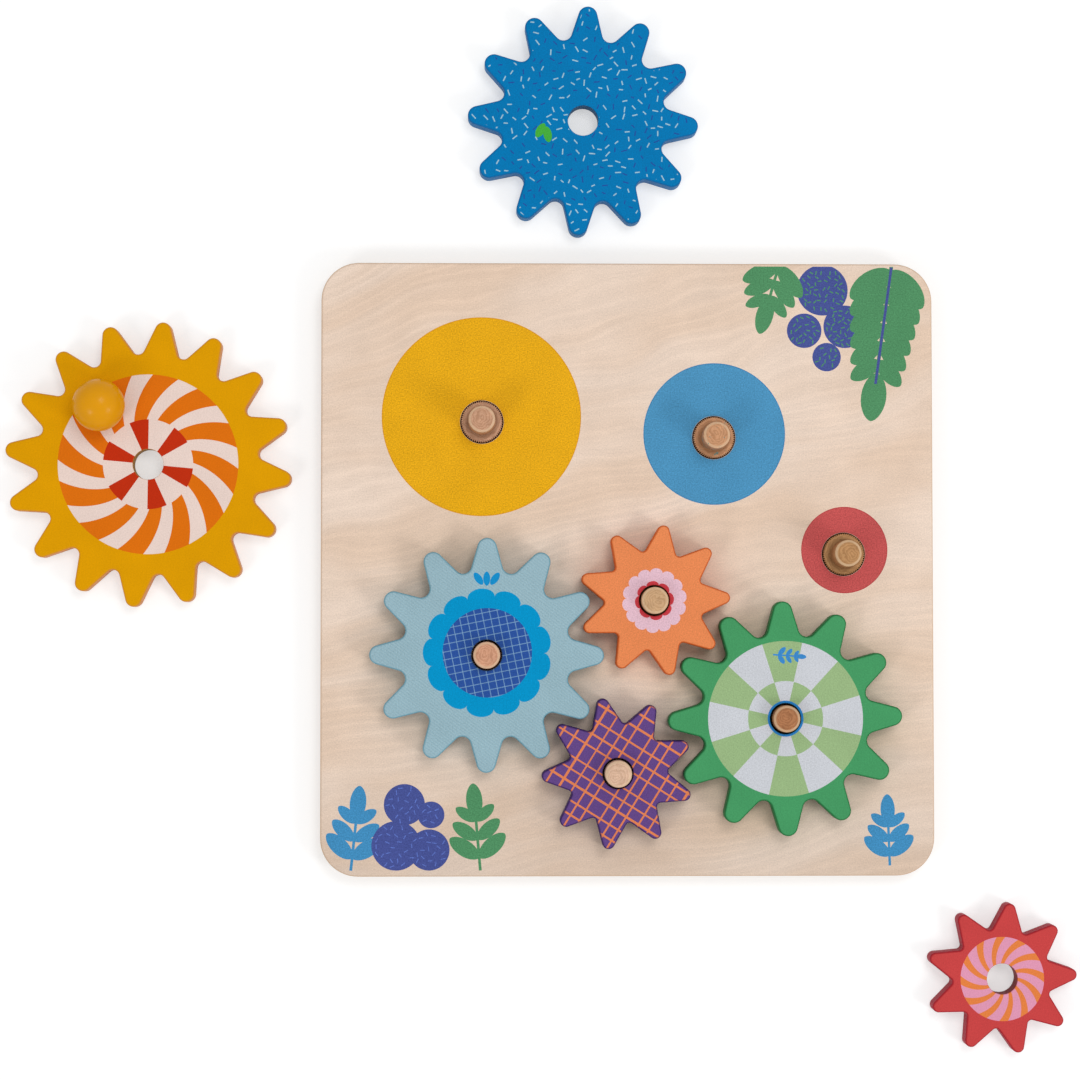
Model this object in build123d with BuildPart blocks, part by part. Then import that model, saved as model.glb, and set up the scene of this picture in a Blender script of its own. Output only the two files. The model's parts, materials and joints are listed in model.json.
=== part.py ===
"""Wooden crank gear toy: a plywood board, seven stepped pegs and seven star-toothed gears.

Four gears stand on their pegs, in mesh. The crank gear, the blue gear and the red gear
lie on the table beside the board, taken off their pegs.

Millimetres, +Z up, +Y away from the player. The origin is the centre of the board's underside,
which is also the level of the table.
"""

import os
from math import acos, atan2, cos, degrees, hypot, pi, radians, sin, sqrt

from build123d import *

# ---------------------------------------------------------------- driving dimensions

# Board
board_side = 300.0
board_thickness = 12.0
board_corner_radius = 18.5
board_edge_bevel = 0.9

# Gearing: a pitch circle is tooth_module wide for each tooth, as on any gear
tooth_module = 8.14
crank_gear_teeth = 16
large_gear_teeth = 12
small_gear_teeth = 9

# How far the tooth tips stand outside the pitch circle
crank_gear_addendum = 4.9
large_gear_addendum = 8.0
small_gear_addendum = 0.2

# Room left under the tip of the mating tooth
bottom_clearance = 3.0
small_gear_bottom_clearance = 4.2

# Rounding of each tooth's tip and of the hollow between two teeth, seen from above
crank_gear_tip_rounding = 4.0
crank_gear_hollow_rounding = 3.25
large_gear_tip_rounding = 4.7
large_gear_hollow_rounding = 4.25
small_gear_tip_rounding = 3.0
small_gear_hollow_rounding = 2.0

# Gear blanks
gear_thickness = 10.0
gear_edge_bevel = 1.0
gear_bore_diameter = 15.0

# Pegs: a fluted base glued into the board, a shoulder for the gear and a narrower pin
peg_base_diameter = 21.0
peg_base_depth = 8.0
peg_shoulder_height = 2.0
peg_flute_count = 30
peg_flute_depth = 0.5
pin_play = 1.0
pin_above_gear = 7.0
pin_top_bevel_width = 1.4
pin_top_bevel_height = 1.0

# Fits
glue_gap = 0.1
gear_seat_gap = 0.1

# Crank knob
knob_diameter = 25.4
knob_foot_diameter = 12.0
knob_crank_radius = 36.0
knob_seat_gap = 0.3
spindle_diameter = 8.0
spindle_play = 0.08
spindle_depth_in_knob = 13.0
spindle_depth_in_retainer = 2.0
retainer_diameter = 14.0
retainer_thickness = 3.0
retainer_seat_gap = 0.2
retainer_recess_play = 0.5
retainer_set_back = 0.5
retainer_edge_bevel = 0.4

# Where the pegs stand: the light-blue gear's peg is placed, and the others follow from the mesh
light_blue_peg_x = -69.0
light_blue_peg_y = -42.2
mesh_row_angle = 18.0
lower_ring_half_steps = 7
upper_ring_half_steps = 13

# Where the loose gears lie, from the board's centre
crank_gear_x = -234.5
crank_gear_y = 51.0
blue_gear_x = -21.6
blue_gear_y = 221.0
red_gear_x = 183.2
red_gear_y = -200.6

# Direction of one tooth tip at rest, degrees from +X
light_blue_gear_turn = 89.8
crank_gear_turn = 84.0
blue_gear_turn = 87.3
red_gear_turn = 83.2
green_gear_backlash_turn = 1.5
knob_teeth_from_tip = 2

# ---------------------------------------------------------------- sizes that follow

crank_pitch_radius = tooth_module * crank_gear_teeth / 2
large_pitch_radius = tooth_module * large_gear_teeth / 2
small_pitch_radius = tooth_module * small_gear_teeth / 2

crank_tip_radius = crank_pitch_radius + crank_gear_addendum
large_tip_radius = large_pitch_radius + large_gear_addendum
small_tip_radius = small_pitch_radius + small_gear_addendum

crank_mesh_distance = crank_pitch_radius + large_pitch_radius
small_mesh_distance = large_pitch_radius + small_pitch_radius

crank_hollow_radius = crank_mesh_distance - large_tip_radius - bottom_clearance
large_hollow_radius = crank_mesh_distance - crank_tip_radius - bottom_clearance
small_hollow_radius = small_mesh_distance - large_tip_radius - small_gear_bottom_clearance

shoulder_z = board_thickness + peg_shoulder_height
mounted_gear_z = shoulder_z + gear_seat_gap
pin_diameter = gear_bore_diameter - 2 * pin_play
pin_top_z = mounted_gear_z + gear_thickness + pin_above_gear

# A whole tooth step of a meshing pair, seen as a turn of the line between the two centres
half_mesh_step = 180 / (large_gear_teeth + small_gear_teeth)
lower_ring_angle = mesh_row_angle - lower_ring_half_steps * half_mesh_step
upper_ring_angle = lower_ring_angle + upper_ring_half_steps * half_mesh_step


def polar(radius, angle):
    """Point at a radius and an angle in degrees from +X."""
    return Vector(radius * cos(radians(angle)), radius * sin(radians(angle)))


# ---------------------------------------------------------------- peg places

light_blue_peg = Vector(light_blue_peg_x, light_blue_peg_y)
orange_peg = light_blue_peg + polar(small_mesh_distance, mesh_row_angle)
green_peg = orange_peg + polar(small_mesh_distance, lower_ring_angle)
purple_peg = light_blue_peg + polar(small_mesh_distance, lower_ring_angle)
blue_peg = orange_peg + polar(small_mesh_distance, upper_ring_angle)
red_peg = green_peg + polar(small_mesh_distance, upper_ring_angle)

# The crank gear's peg is one crank mesh distance from both of its neighbours
neighbour_step = blue_peg - light_blue_peg
neighbour_half = neighbour_step.length / 2
crank_peg_offset = sqrt(crank_mesh_distance**2 - neighbour_half**2)
crank_peg = (
    light_blue_peg
    + neighbour_step * 0.5
    + Vector(-neighbour_step.Y, neighbour_step.X).normalized() * crank_peg_offset
)

pegs = {
    "crank_gear_peg": crank_peg,
    "blue_gear_peg": blue_peg,
    "red_gear_peg": red_peg,
    "light_blue_gear_peg": light_blue_peg,
    "orange_gear_peg": orange_peg,
    "green_gear_peg": green_peg,
    "purple_gear_peg": purple_peg,
}


def meshed_turn(turn, teeth, mate_teeth, mesh_angle):
    """Tooth direction of the mate of a gear, with a gap of the mate facing each of its teeth.

    mesh_angle is the direction from the gear's centre to its mate's.
    """
    teeth_past_line = teeth * (turn - mesh_angle) / 360
    return mesh_angle + 180 + (0.5 - teeth_past_line) * 360 / mate_teeth


orange_gear_turn = meshed_turn(
    light_blue_gear_turn, large_gear_teeth, small_gear_teeth, mesh_row_angle
)
purple_gear_turn = meshed_turn(
    light_blue_gear_turn, large_gear_teeth, small_gear_teeth, lower_ring_angle
)
green_gear_turn = green_gear_backlash_turn + meshed_turn(
    orange_gear_turn, small_gear_teeth, large_gear_teeth, lower_ring_angle
)

os.makedirs("parts", exist_ok=True)


def save(builder, label):
    """Name a finished piece and write it to its own file."""
    builder.part.label = label
    export_step(builder.part, f"parts/{label}.step")


# ---------------------------------------------------------------- board

with BuildPart() as board:
    with BuildSketch():
        RectangleRounded(board_side, board_side, board_corner_radius)
    extrude(amount=board_thickness)
    chamfer(board.faces().filter_by(Axis.Z).edges(), board_edge_bevel)
    with Locations(*[(place.X, place.Y, board_thickness) for place in pegs.values()]):
        Hole(radius=peg_base_diameter / 2 + glue_gap, depth=peg_base_depth)

save(board, "board")


# ---------------------------------------------------------------- pegs


peg_bottom_z = board_thickness - peg_base_depth
peg_base_radius = peg_base_diameter / 2
pin_radius = pin_diameter / 2
peg_flute_side = peg_flute_depth * sqrt(2)

# One peg on the origin's axis: a base with V-shaped flutes, a shoulder just above the board
# and a bevelled pin
with BuildPart() as turned_peg:
    with BuildSketch(Plane.XZ):
        with BuildLine():
            Polyline(
                (0, peg_bottom_z),
                (peg_base_radius, peg_bottom_z),
                (peg_base_radius, shoulder_z),
                (pin_radius, shoulder_z),
                (pin_radius, pin_top_z - pin_top_bevel_height),
                (pin_radius - pin_top_bevel_width, pin_top_z),
                (0, pin_top_z),
                close=True,
            )
        make_face()
    revolve(axis=Axis.Z)
    with BuildSketch(Plane.XY.offset(peg_bottom_z)):
        with PolarLocations(peg_base_radius, peg_flute_count):
            Rectangle(peg_flute_side, peg_flute_side, rotation=45)
    extrude(amount=shoulder_z - peg_bottom_z, mode=Mode.SUBTRACT)

for peg_label, peg_place in pegs.items():
    with BuildPart() as peg:
        with Locations(peg_place):
            add(turned_peg.part)
    save(peg, peg_label)


# ---------------------------------------------------------------- gears


def tooth_flank(teeth, tip_radius, hollow_radius, tip_rounding, hollow_rounding):
    """Ends of one straight flank, as (radius, angle) from the tooth's own axis.

    The flank is the line that touches the tip's circle on the outside and the hollow's circle
    from the other side, so the outline runs smoothly from arc to line to arc.
    """
    half_pitch = pi / teeth
    tip_x = tip_radius - tip_rounding
    hollow_centre = hollow_radius + hollow_rounding
    step_x = hollow_centre * cos(half_pitch) - tip_x
    step_y = hollow_centre * sin(half_pitch)
    normal = atan2(step_y, step_x) - acos((tip_rounding + hollow_rounding) / hypot(step_x, step_y))
    outer_x = tip_x + tip_rounding * cos(normal)
    outer_y = tip_rounding * sin(normal)
    inner_x = tip_x + step_x - hollow_rounding * cos(normal)
    inner_y = step_y - hollow_rounding * sin(normal)
    outer = (hypot(outer_x, outer_y), degrees(atan2(outer_y, outer_x)))
    inner = (hypot(inner_x, inner_y), degrees(atan2(inner_y, inner_x)))
    return outer, inner


def star_outline(place, turn, teeth, tip_radius, hollow_radius, tip_rounding, hollow_rounding):
    """Closed outline of a star gear: tip arc, flank, hollow arc and flank for each tooth."""
    (outer_radius, outer_angle), (inner_radius, inner_angle) = tooth_flank(
        teeth, tip_radius, hollow_radius, tip_rounding, hollow_rounding
    )
    pitch = 360 / teeth
    with BuildLine() as outline:
        for tooth in range(teeth):
            axis = turn + tooth * pitch
            rise = place + polar(outer_radius, axis - outer_angle)
            tip = place + polar(tip_radius, axis)
            fall = place + polar(outer_radius, axis + outer_angle)
            hollow_start = place + polar(inner_radius, axis + inner_angle)
            hollow = place + polar(hollow_radius, axis + pitch / 2)
            hollow_end = place + polar(inner_radius, axis + pitch - inner_angle)
            next_rise = place + polar(outer_radius, axis + pitch - outer_angle)
            ThreePointArc(rise, tip, fall)
            Line(fall, hollow_start)
            ThreePointArc(hollow_start, hollow, hollow_end)
            Line(hollow_end, next_rise)
    return outline.line


def gear_blank(place, bottom_z, turn, tooth_sizes):
    """Star-toothed wooden blank with a bevelled upper edge and a plain bore."""
    with BuildPart() as blank:
        with BuildSketch(Plane.XY.offset(bottom_z)):
            add(star_outline(place, turn, *tooth_sizes))
            make_face()
        extrude(amount=gear_thickness)
        chamfer(blank.faces().sort_by(Axis.Z)[-1].edges(), gear_edge_bevel)
        with Locations((place.X, place.Y, bottom_z + gear_thickness)):
            Hole(radius=gear_bore_diameter / 2, depth=gear_thickness)
    return blank


crank_tooth_sizes = (
    crank_gear_teeth,
    crank_tip_radius,
    crank_hollow_radius,
    crank_gear_tip_rounding,
    crank_gear_hollow_rounding,
)
large_tooth_sizes = (
    large_gear_teeth,
    large_tip_radius,
    large_hollow_radius,
    large_gear_tip_rounding,
    large_gear_hollow_rounding,
)
small_tooth_sizes = (
    small_gear_teeth,
    small_tip_radius,
    small_hollow_radius,
    small_gear_tip_rounding,
    small_gear_hollow_rounding,
)

plain_gears = {
    "light_blue_gear": (light_blue_peg, mounted_gear_z, light_blue_gear_turn, large_tooth_sizes),
    "orange_gear": (orange_peg, mounted_gear_z, orange_gear_turn, small_tooth_sizes),
    "green_gear": (green_peg, mounted_gear_z, green_gear_turn, large_tooth_sizes),
    "purple_gear": (purple_peg, mounted_gear_z, purple_gear_turn, small_tooth_sizes),
    "blue_gear": (Vector(blue_gear_x, blue_gear_y), 0, blue_gear_turn, large_tooth_sizes),
    "red_gear": (Vector(red_gear_x, red_gear_y), 0, red_gear_turn, small_tooth_sizes),
}

for gear_label, gear_sizes in plain_gears.items():
    save(gear_blank(*gear_sizes), gear_label)


# ---------------------------------------------------------------- crank gear and its knob

crank_place = Vector(crank_gear_x, crank_gear_y)
knob_angle = crank_gear_turn + knob_teeth_from_tip * 360 / crank_gear_teeth
knob_place = crank_place + polar(knob_crank_radius, knob_angle)
knob_foot_z = gear_thickness + knob_seat_gap
knob_radius = knob_diameter / 2
knob_centre_z = knob_foot_z + sqrt(knob_radius**2 - (knob_foot_diameter / 2) ** 2)
retainer_top_z = retainer_set_back + retainer_thickness
recess_depth = retainer_top_z + retainer_seat_gap
spindle_bottom_z = retainer_top_z - spindle_depth_in_retainer
spindle_top_z = knob_foot_z + spindle_depth_in_knob
glued_hole_radius = spindle_diameter / 2 + glue_gap

with BuildPart() as crank_gear:
    add(gear_blank(crank_place, 0, crank_gear_turn, crank_tooth_sizes).part)
    with Locations(Location((knob_place.X, knob_place.Y, 0), (180, 0, 0))):
        CounterBoreHole(
            radius=spindle_diameter / 2 + spindle_play,
            counter_bore_radius=retainer_diameter / 2 + retainer_recess_play,
            counter_bore_depth=recess_depth,
            depth=gear_thickness,
        )

save(crank_gear, "crank_gear")

with BuildPart() as crank_knob:
    with Locations((knob_place.X, knob_place.Y, knob_centre_z)):
        Sphere(knob_radius)
    split(bisect_by=Plane.XY.offset(knob_foot_z), keep=Keep.TOP)
    with Locations(Location((knob_place.X, knob_place.Y, knob_foot_z), (180, 0, 0))):
        Hole(radius=glued_hole_radius, depth=spindle_depth_in_knob)

save(crank_knob, "crank_knob")

with BuildPart() as crank_spindle:
    with BuildSketch(Plane.XY.offset(spindle_bottom_z)):
        with Locations((knob_place.X, knob_place.Y)):
            Circle(spindle_diameter / 2)
    extrude(amount=spindle_top_z - spindle_bottom_z)

save(crank_spindle, "crank_spindle")

with BuildPart() as spindle_retainer:
    with BuildSketch(Plane.XY.offset(retainer_set_back)):
        with Locations((knob_place.X, knob_place.Y)):
            Circle(retainer_diameter / 2)
    extrude(amount=retainer_thickness)
    chamfer(spindle_retainer.faces().filter_by(Axis.Z).edges(), retainer_edge_bevel)
    with Locations((knob_place.X, knob_place.Y, retainer_top_z)):
        Hole(radius=glued_hole_radius, depth=spindle_depth_in_retainer)

save(spindle_retainer, "spindle_retainer")
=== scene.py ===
"""Looks of a wooden crank gear toy: painted star gears, turned pegs and a printed plywood board.

Lengths are in millimetres until a mesh is made, which turns them into metres. A plan is seen
from above, with +X to the right and +Y away from the player. Angles are degrees from +X.
"""

import json
from math import acos, atan2, cos, hypot, pi, radians, sin, sqrt

import bmesh
import bpy
import numpy as np
from mathutils import Matrix, Vector
from mathutils.geometry import delaunay_2d_cdt


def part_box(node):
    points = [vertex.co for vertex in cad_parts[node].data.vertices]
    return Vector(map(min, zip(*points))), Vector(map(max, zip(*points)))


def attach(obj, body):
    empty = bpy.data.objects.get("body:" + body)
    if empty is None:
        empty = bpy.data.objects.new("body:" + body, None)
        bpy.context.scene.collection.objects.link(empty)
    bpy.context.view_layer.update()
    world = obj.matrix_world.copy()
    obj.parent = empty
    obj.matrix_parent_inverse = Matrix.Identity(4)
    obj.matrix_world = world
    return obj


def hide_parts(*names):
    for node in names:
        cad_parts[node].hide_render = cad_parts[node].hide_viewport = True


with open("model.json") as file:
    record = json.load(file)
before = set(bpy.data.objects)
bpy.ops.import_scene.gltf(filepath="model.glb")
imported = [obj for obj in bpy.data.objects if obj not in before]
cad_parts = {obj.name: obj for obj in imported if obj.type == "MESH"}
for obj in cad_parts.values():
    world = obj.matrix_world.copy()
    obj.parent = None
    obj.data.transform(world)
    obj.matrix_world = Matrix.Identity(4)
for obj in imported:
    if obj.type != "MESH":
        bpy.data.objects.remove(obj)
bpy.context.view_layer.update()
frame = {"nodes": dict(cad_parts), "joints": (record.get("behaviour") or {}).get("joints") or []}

MM = 0.001

# ---- sizes, the CAD's unless a comment says otherwise

board_side = 300.0
board_thickness = 12.0
board_corner_radius = 18.5
board_upper_rounding = 1.1
board_lower_rounding = 0.8
board_layers = 9
peg_hole_radius = 10.6
peg_hole_depth = 8.0

gear_thickness = 10.0
gear_layers = 7
gear_bore_radius = 7.5
gear_upper_rounding = 1.2
gear_lower_rounding = 0.5
bore_edge_rounding = 0.35

# Teeth, tip radius, hollow radius, rounding of the tip and of the hollow
crank_teeth = (16, 70.02, 54.14, 4.0, 3.25)
large_teeth = (12, 56.84, 40.94, 4.7, 4.25)
small_teeth = (9, 36.83, 24.43, 3.0, 2.0)

# The bases are 0.3 mm slimmer than in the CAD, with more and deeper flutes
peg_base_radius = 10.2
peg_pin_radius = 6.5
peg_foot_z = 4.0
peg_shoulder_z = 14.0
peg_top_z = 31.1
peg_flutes = 60
peg_flute_depth = 0.9

knob_radius = 12.7
knob_foot_radius = 6.0
knob_foot_z = 10.3
spindle_hole_radius = 4.08
spindle_socket_radius = 4.1
spindle_socket_depth = 13.0
retainer_recess_radius = 7.5
retainer_recess_depth = 3.7

# Each gear: direction of a tooth tip at rest, height of its underside, and its teeth
mounted_z = 14.1
gears = {
    "light_blue_gear": (89.8, mounted_z, large_teeth),
    "orange_gear": (82.2667, mounted_z, small_teeth),
    "green_gear": (91.3, mounted_z, large_teeth),
    "purple_gear": (62.2667, mounted_z, small_teeth),
    "crank_gear": (84.0, 0.0, crank_teeth),
    "blue_gear": (87.3, 0.0, large_teeth),
    "red_gear": (83.2, 0.0, small_teeth),
}

hinge_place = {joint["name"]: np.array(joint["pos_m"][:2]) / MM for joint in frame["joints"]}


def middle(node):
    """Plan centre of a CAD node's box."""
    low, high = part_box(node)
    return np.array([(low.x + high.x) / 2, (low.y + high.y) / 2]) / MM


# ---- surfaces


def spun(points, angle):
    """Plan points turned about the origin by an angle in degrees."""
    c, s = cos(radians(angle)), sin(radians(angle))
    return points @ np.array([[c, s], [-s, c]])


def star_outline(centre, turn, teeth, tip_radius, hollow_radius, tip_rounding, hollow_rounding):
    """Outline of a star gear and its outward normals.

    Half a tooth is an arc of the tip's circle, a straight flank along the inner tangent of that
    circle and the hollow's circle, and an arc of the hollow's circle. Its normal sweeps from the
    tooth's axis to the flank's normal and back to half a pitch. The half is mirrored in the
    tooth's axis, and the tooth is turned round the gear.
    """
    half_pitch = pi / teeth
    tip_centre = np.array([tip_radius - tip_rounding, 0.0])
    hollow_centre = (hollow_radius + hollow_rounding) * np.array([cos(half_pitch), sin(half_pitch)])
    step = hollow_centre - tip_centre
    lean = atan2(step[1], step[0]) - acos((tip_rounding + hollow_rounding) / hypot(*step))
    tip_sweep, hollow_sweep = np.linspace(0, lean, 10), np.linspace(lean, half_pitch, 8)
    sweep = np.concatenate([tip_sweep, np.full(6, lean), hollow_sweep])
    normal = np.stack([np.cos(sweep), np.sin(sweep)], axis=1)
    tip_arc = tip_centre + tip_rounding * normal[:10]
    hollow_arc = hollow_centre - hollow_rounding * normal[16:]
    along = np.linspace(0, 1, 8)[1:-1, None]
    flank = tip_arc[-1] + (hollow_arc[0] - tip_arc[-1]) * along
    half = np.concatenate([tip_arc, flank, hollow_arc])
    flip = np.array([1.0, -1.0])
    tooth = np.concatenate([half[:0:-1] * flip, half[:-1]])
    tooth_normal = np.concatenate([normal[:0:-1] * flip, normal[:-1]])
    turns = turn + np.arange(teeth) * 360 / teeth
    points = np.concatenate([spun(tooth, angle) for angle in turns]) + centre
    return points, np.concatenate([spun(tooth_normal, angle) for angle in turns])


def round_hole(centre, radius, around=72):
    """Circle run clockwise, with its normals towards its centre, out of the wood."""
    angle = -np.linspace(0, 2 * pi, around, endpoint=False)
    spoke = np.stack([np.cos(angle), np.sin(angle)], axis=1)
    return centre + radius * spoke, -spoke


def rounded_square(side, corner_radius, per_corner=14):
    """Square outline with quarter-circle corners, run anticlockwise, and its normals.

    A corner's point is the corner centre plus its radius along the normal, and the normal turns
    evenly through a quarter at each corner. Long sides stay single steps.
    """
    angle = np.linspace(0, pi / 2, per_corner) + np.arange(4)[:, None] * pi / 2
    normals = np.stack([np.cos(angle), np.sin(angle)], axis=2)
    reach = side / 2 - corner_radius
    corner = reach * np.array([[1, 1], [-1, 1], [-1, -1], [1, -1]])[:, None, :]
    points = corner + corner_radius * normals
    return points.reshape(-1, 2), normals.reshape(-1, 2)


def edge_section(top, bottom, upper_rounding, lower_rounding, steps=6, margin=0.25):
    """Section of an edge: upper face, quarter round, wall, quarter round, under face.

    Row 0 is how far each point lies outside the outline, and row 1 is its height. Both quarters
    are circle arcs of their rounding, and a margin on each face keeps the face's shading flat.
    """
    quarter = np.linspace(0, pi / 2, steps)
    upper = [upper_rounding * (np.sin(quarter) - 1), top - upper_rounding * (1 - np.cos(quarter))]
    lower = [lower_rounding * (np.cos(quarter) - 1), bottom + lower_rounding * (1 - np.sin(quarter))]
    wall_z = np.linspace(top - upper_rounding, bottom + lower_rounding, 5)[1:-1]
    parts = [
        [[-upper_rounding - margin], [top]],
        upper,
        [np.zeros(3), wall_z],
        lower,
        [[-lower_rounding - margin], [bottom]],
    ]
    return np.concatenate([np.array(part) for part in parts], axis=1)


def ring_quads(rows, columns):
    """Quads of a grid whose columns close into rings."""
    row, column = np.meshgrid(np.arange(rows - 1), np.arange(columns), indexing="ij")
    following = (column + 1) % columns
    here, below = row * columns, (row + 1) * columns
    corners = [here + column, below + column, below + following, here + following]
    return np.stack(corners, axis=-1).reshape(-1, 4)


def carried_section(edge):
    """A section carried along a closed outline.

    Point (k, i) is the outline's point i, moved along its normal by the section's offset k, at
    the section's height k.
    """
    points, normals, section = edge
    plan = points[None] + section[0][:, None, None] * normals[None]
    height = np.broadcast_to(section[1][:, None, None], plan.shape[:2] + (1,))
    return np.concatenate([plan, height], axis=2)


def flat_face(rim, holes, height, prints=(), upward=True):
    """Flat face between a rim and its holes, cut along the printed shapes too.

    A constrained Delaunay triangulation of all the outlines. A triangle stays where it lies
    inside the rim and outside every hole, and takes the ink of the last print over it.
    """
    outlines = [rim] + [hole[::-1] for hole in holes] + [shape for shape, ink in prints]
    counts = np.array([len(outline) for outline in outlines])
    ends = np.cumsum(counts)
    loops = [list(range(end - count, end)) for count, end in zip(counts, ends)]
    flat = [Vector(point) for point in np.concatenate(outlines).tolist()]
    found = delaunay_2d_cdt(flat, [], loops, 0, 1e-5)
    plan = np.array([point[:] for point in found[0]])
    first_print = 1 + len(holes)
    kept = [
        (triangle, max(owners))
        for triangle, owners in zip(found[2], found[5])
        if 0 in owners and not any(0 < owner < first_print for owner in owners)
    ]
    triangles = np.array([triangle for triangle, last in kept])
    inks = np.zeros((first_print + len(prints), 4))
    inks[first_print:] = [ink for shape, ink in prints] or np.zeros((0, 4))
    colours = inks[[last for triangle, last in kept]]
    used, triangles = np.unique(triangles, return_inverse=True)
    plan, triangles = plan[used], triangles.reshape(-1, 3)
    points = np.column_stack([plan, np.full(len(plan), height)])
    a, b, c = (plan[triangles[:, k]] for k in range(3))
    anticlockwise = np.cross(b - a, c - a) > 0
    triangles[anticlockwise != upward] = triangles[anticlockwise != upward][:, ::-1]
    return points, triangles, colours


def close_rims(work):
    """Splits an open edge wherever an open corner lies on it, so that a rim which the outline of
    a print has cut closes again."""
    open_edges = [edge for edge in work.edges if edge.is_boundary]
    corners = {corner for edge in open_edges for corner in edge.verts}
    for edge in open_edges:
        start, end = edge.verts
        step = end.co - start.co
        cuts = []
        for corner in corners - {start, end}:
            place = (corner.co - start.co).dot(step) / step.length_squared
            off = (corner.co - start.co - step * place).length
            if 0 < place < 1 and off < 0.0004 * MM:
                cuts.append(place)
        done = 0.0
        for place in sorted(cuts):
            start = bmesh.utils.edge_split(edge, start, (place - done) / (1 - done))[1]
            done = place
    bmesh.ops.remove_doubles(work, verts=work.verts, dist=0.001 * MM)


def finish_mesh(name, parts, body, replaced, material, sharp_angle=35):
    """Object from (points, faces, face inks) parts, welded, smooth but for its sharp edges."""
    starts = np.cumsum([0] + [len(points) for points, faces, inks in parts])
    points = np.concatenate([points for points, faces, inks in parts]) * MM
    faces = [row for (p, f, c), start in zip(parts, starts) for row in (f + start).tolist()]
    face_inks = np.concatenate([inks for p, f, inks in parts])
    corners = [len(row) for row in faces]
    mesh = bpy.data.meshes.new(name)
    mesh.from_pydata(points, [], faces)
    layer = mesh.color_attributes.new("ink", "FLOAT_COLOR", "CORNER")
    layer.data.foreach_set("color", np.repeat(face_inks, corners, axis=0).astype(np.float32).ravel())
    work = bmesh.new()
    work.from_mesh(mesh)
    bmesh.ops.remove_doubles(work, verts=work.verts, dist=0.001 * MM)
    close_rims(work)
    work.to_mesh(mesh)
    work.free()
    mesh.polygons.foreach_set("use_smooth", np.ones(len(mesh.polygons), bool))
    mesh.set_sharp_from_angle(angle=radians(sharp_angle))
    mesh.materials.append(material)
    piece = bpy.data.objects.new(name, mesh)
    bpy.context.scene.collection.objects.link(piece)
    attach(piece, body)
    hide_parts(*replaced)
    return piece


def slab_parts(edges, prints=()):
    """Flat piece with the given edges: the rim first, then the holes.

    Each edge is an outline, its normals and a section from the upper face downwards. A section
    that ends on the rim's lowest level goes through, and any other closes on the outline's
    middle as the floor of a blind hole.
    """
    bottom = edges[0][2][1, -1]
    surfaces = [carried_section(edge) for edge in edges]
    parts = []
    for surface in surfaces:
        rows, columns = surface.shape[:2]
        quads = ring_quads(rows, columns)
        points = surface.reshape(-1, 3)
        if surface[-1, 0, 2] != bottom:
            floor = np.broadcast_to(surface[-1].mean(axis=0), (1, columns, 3))
            points = np.concatenate([points, floor.reshape(-1, 3)])
            quads = ring_quads(rows + 1, columns)
        parts.append((points, quads, np.zeros((len(quads), 4))))
    tops = [surface[0, :, :2] for surface in surfaces]
    parts.append(flat_face(tops[0], tops[1:], surfaces[0][0, 0, 2], prints))
    through = [surface[-1, :, :2] for surface in surfaces if surface[-1, 0, 2] == bottom]
    parts.append(flat_face(through[0], through[1:], bottom, upward=False))
    return parts


def rounded_profile(corners, steps=5):
    """Polyline of (radius, height) corners, each replaced by an arc of its own rounding.

    The arc touches both of the corner's sides at the same distance from the corner, and its
    points are the corner blended along a quadratic curve between the two touching points. A
    margin on each side keeps the straight parts' shading straight.
    """
    corners = np.array(corners, float)
    margin = 0.2
    points = [corners[:1, :2]]
    for before, corner, after in zip(corners, corners[1:], corners[2:]):
        rounding = corner[2]
        back = (before[:2] - corner[:2]) / np.linalg.norm(before[:2] - corner[:2])
        ahead = (after[:2] - corner[:2]) / np.linalg.norm(after[:2] - corner[:2])
        start = corner[:2] + back * rounding
        end = corner[:2] + ahead * rounding
        t = np.linspace(0, 1, steps)[:, None]
        points.append([start + back * margin])
        points.append((1 - t) ** 2 * start + 2 * t * (1 - t) * corner[:2] + t**2 * end)
        points.append([end + ahead * margin])
    points.append(corners[-1:, :2])
    return np.concatenate(points)


def turned_parts(centre, profile, around=96, flutes=0, flute_depth=0.0):
    """Surface of revolution of a (radius, height) profile, from its top centre to its bottom.

    Point (k, i) lies at radius k and angle i. A flute's groove holds the radius down to the
    widest one less the flute's depth times a raised cosine, once for each flute.
    """
    angle = np.linspace(0, 2 * pi, around, endpoint=False)
    radius, height = profile[:, :1], profile[:, 1:]
    groove = (0.5 + 0.5 * np.cos(flutes * angle)) ** 1.5 if flutes else 0.0 * angle
    reach = np.minimum(radius, radius.max() - flute_depth * groove)
    plan_x = centre[0] + reach * np.cos(angle)
    plan_y = centre[1] + reach * np.sin(angle)
    heights = np.broadcast_to(height, plan_x.shape)
    points = np.stack([plan_x, plan_y, heights], axis=2).reshape(-1, 3)
    quads = ring_quads(len(profile), around)
    return [(points, quads, np.zeros((len(quads), 4)))]


# ---- node graphs


def srgb(red, green, blue):
    """Linear colour of an 8-bit screen colour."""
    channel = np.array([red, green, blue]) / 255
    linear = np.where(channel > 0.04045, ((channel + 0.055) / 1.055) ** 2.4, channel / 12.92)
    return tuple(float(c) for c in linear) + (1.0,)


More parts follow.
